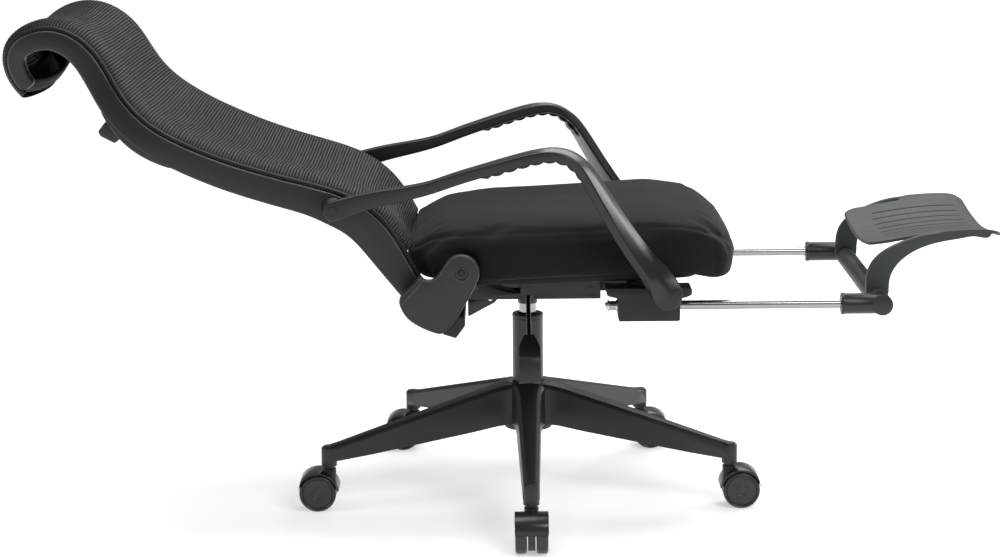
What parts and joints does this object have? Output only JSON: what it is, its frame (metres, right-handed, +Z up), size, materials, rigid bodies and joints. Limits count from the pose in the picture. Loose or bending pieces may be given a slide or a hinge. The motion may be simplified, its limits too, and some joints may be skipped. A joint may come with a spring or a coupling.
{
  "type": "reclining office chair with footrest",
  "caption": "Mesh-backed reclining office chair on a swivel gas lift, with a linked back, arms and gliding seat and a slotted footrest that slides out and folds over.",
  "frame": {"origin": "on the floor under the gas lift's axis", "axes": "+X the way a sitter faces, +Y the sitter's left, +Z up"},
  "size_m": [1.5266, 0.6926, 0.7882],
  "materials": {
    "black_nylon_base": "satin glass-filled nylon",
    "black_nylon": "satin nylon",
    "caster_nylon": "satin nylon tread",
    "zinc_steel": "zinc plated",
    "black_painted_steel": "satin black powder coat",
    "bright_chrome": "polished",
    "charcoal_nylon": "fine-grained satin",
    "bush_acetal": "smooth",
    "lever_plastic": "satin",
    "grey_footrest_plastic": "fine-grained satin",
    "arm_satin": "smooth satin",
    "arm_grip_plastic": "satin",
    "edge_strip": "ribbed matte",
    "mesh_weave": "ribbed elastic weave",
    "seat_pan_plastic": "matte",
    "seat_fabric": "fine plain weave"
  },
  "bodies": {
    "base": {"five_star_base": "black_nylon_base", "gas_lift_outer_tube": "black_painted_steel", "guide_bush": "black_nylon", "thrust_bearing": "zinc_steel", "caster_stems": "zinc_steel"},
    "caster_1_fork": {"caster_1_hood": "black_nylon", "caster_1_axle": "zinc_steel"},
    "caster_1_wheel_pair": {"caster_1_wheels": "caster_nylon"},
    "caster_2_fork": {"caster_2_hood": "black_nylon", "caster_2_axle": "zinc_steel"},
    "caster_2_wheel_pair": {"caster_2_wheels": "caster_nylon"},
    "caster_3_fork": {"caster_3_hood": "black_nylon", "caster_3_axle": "zinc_steel"},
    "caster_3_wheel_pair": {"caster_3_wheels": "caster_nylon"},
    "caster_4_fork": {"caster_4_hood": "black_nylon", "caster_4_axle": "zinc_steel"},
    "caster_4_wheel_pair": {"caster_4_wheels": "caster_nylon"},
    "caster_5_fork": {"caster_5_hood": "black_nylon", "caster_5_axle": "zinc_steel"},
    "caster_5_wheel_pair": {"caster_5_wheels": "caster_nylon"},
    "piston": {"piston_rod": "zinc_steel", "retaining_clip": "zinc_steel"},
    "chassis": {"gas_cylinder": "bright_chrome", "chassis_tray": "black_painted_steel", "guide_plates": "black_painted_steel", "rear_stop_bracket": "black_painted_steel", "chassis_fasteners": "zinc_steel", "front_beam": "black_painted_steel", "front_brackets": "charcoal_nylon", "rod_bushes": "bush_acetal"},
    "height_lever": {"height_lever_rod": "black_painted_steel", "height_lever_paddle": "lever_plastic"},
    "release_button": {"release_button": "zinc_steel"},
    "recline_lever": {"recline_lever_shaft": "zinc_steel", "recline_lever_handle": "lever_plastic"},
    "footrest_slide": {"footrest_rods": "bright_chrome", "footrest_elbows": "charcoal_nylon", "rod_stop_washers": "zinc_steel", "footrest_cross_shaft": "bright_chrome"},
    "footrest_flip": {"footrest_pad": "grey_footrest_plastic"},
    "arm_right": {"arm_right": "arm_satin", "arm_grip_right": "arm_grip_plastic", "arm_pins_right": "zinc_steel"},
    "arm_left": {"arm_left": "arm_satin", "arm_grip_left": "arm_grip_plastic", "arm_pins_left": "zinc_steel"},
    "back": {"back_rails": "charcoal_nylon", "mesh_edge_strips": "edge_strip", "back_crossbars": "charcoal_nylon", "rear_brace": "charcoal_nylon", "back_mesh": "mesh_weave", "ear_brackets": "charcoal_nylon", "ear_crossbar": "charcoal_nylon", "seat_pivot_bolts": "zinc_steel"},
    "seat": {"seat_pan": "seat_pan_plastic", "seat_cushion": "seat_fabric", "seat_hinge_brackets": "black_painted_steel", "seat_runners": "black_painted_steel", "runner_rollers": "bush_acetal", "seat_screws": "zinc_steel"}
  },
  "joints": [
    {"name": "caster_1_swivel", "type": "hinge", "parent": "base", "child": "caster_1_fork", "pos_m": [0, -0.3363, 0.05], "axis": [0, 0, 1], "continuous": true},
    {"name": "caster_1_roll", "type": "hinge", "parent": "caster_1_fork", "child": "caster_1_wheel_pair", "pos_m": [0, -0.3543, 0.0295], "axis": [1, 0, 0], "continuous": true},
    {"name": "caster_2_swivel", "type": "hinge", "parent": "base", "child": "caster_2_fork", "pos_m": [0.31984, -0.10392, 0.05], "axis": [0, 0, 1], "continuous": true},
    {"name": "caster_2_roll", "type": "hinge", "parent": "caster_2_fork", "child": "caster_2_wheel_pair", "pos_m": [0.33784, -0.10392, 0.0295], "axis": [0, 1, 0], "continuous": true},
    {"name": "caster_3_swivel", "type": "hinge", "parent": "base", "child": "caster_3_fork", "pos_m": [0.19767, 0.27207, 0.05], "axis": [0, 0, 1], "continuous": true},
    {"name": "caster_3_roll", "type": "hinge", "parent": "caster_3_fork", "child": "caster_3_wheel_pair", "pos_m": [0.21567, 0.27207, 0.0295], "axis": [0, 1, 0], "continuous": true},
    {"name": "caster_4_swivel", "type": "hinge", "parent": "base", "child": "caster_4_fork", "pos_m": [-0.19767, 0.27207, 0.05], "axis": [0, 0, 1], "continuous": true},
    {"name": "caster_4_roll", "type": "hinge", "parent": "caster_4_fork", "child": "caster_4_wheel_pair", "pos_m": [-0.21567, 0.27207, 0.0295], "axis": [0, 1, 0], "continuous": true},
    {"name": "caster_5_swivel", "type": "hinge", "parent": "base", "child": "caster_5_fork", "pos_m": [-0.31984, -0.10392, 0.05], "axis": [0, 0, 1], "continuous": true},
    {"name": "caster_5_roll", "type": "hinge", "parent": "caster_5_fork", "child": "caster_5_wheel_pair", "pos_m": [-0.33784, -0.10392, 0.0295], "axis": [0, 1, 0], "continuous": true},
    {"name": "seat_swivel", "type": "hinge", "parent": "base", "child": "piston", "pos_m": [0, 0, 0.2], "axis": [0, 0, 1], "continuous": true},
    {"name": "gas_lift", "type": "slide", "parent": "piston", "child": "chassis", "axis": [0, 0, 1], "range_m": [0, 0.1]},
    {"name": "arm_right_turn", "type": "hinge", "parent": "chassis", "child": "arm_right", "pos_m": [0.208, -0.272, 0.378], "axis": [0, 1, 0], "range_deg": [0, 13.87]},
    {"name": "arm_left_turn", "type": "hinge", "parent": "chassis", "child": "arm_left", "pos_m": [0.208, 0.272, 0.378], "axis": [0, 1, 0], "range_deg": [0, 13.87]},
    {"name": "recline", "type": "hinge", "parent": "arm_right", "child": "back", "pos_m": [-0.296, -0.25, 0.507], "axis": [0, 1, 0], "range_deg": [0, 28.14]},
    {"name": "seat_glide", "type": "hinge", "parent": "back", "child": "seat", "pos_m": [-0.103, 0, 0.4085], "axis": [0, 1, 0], "range_deg": [-42.01, 0]},
    {"name": "footrest_pull", "type": "slide", "parent": "chassis", "child": "footrest_slide", "axis": [1, 0, 0], "range_m": [-0.19, 0]},
    {"name": "footrest_turn", "type": "hinge", "parent": "footrest_slide", "child": "footrest_flip", "pos_m": [0.539, 0, 0.352], "axis": [0, 1, 0], "range_deg": [-180, 0]},
    {"name": "height_lever_turn", "type": "hinge", "parent": "chassis", "child": "height_lever", "pos_m": [0, -0.04, 0.345], "axis": [1, 0, 0], "range_deg": [-6, 0], "stiffness_Nm_per_rad": 1.5, "springref_deg": 6.88},
    {"name": "release_press", "type": "slide", "parent": "chassis", "child": "release_button", "axis": [0, 0, 1], "range_m": [-0.0046, 0]},
    {"name": "recline_lever_turn", "type": "hinge", "parent": "chassis", "child": "recline_lever", "pos_m": [0.017, 0.18, 0.329], "axis": [0, 1, 0], "range_deg": [-12, 0], "stiffness_Nm_per_rad": 1.5, "springref_deg": 6.88}
  ],
  "couplings": [
    {"joint": "arm_right_turn", "follows": "recline", "ratio": 0.49254},
    {"joint": "arm_left_turn", "follows": "recline", "ratio": 0.49254},
    {"joint": "seat_glide", "follows": "recline", "ratio": -1.4925},
    {"joint": "release_press", "follows": "height_lever_turn", "m_per_rad": 0.04297}
  ]
}
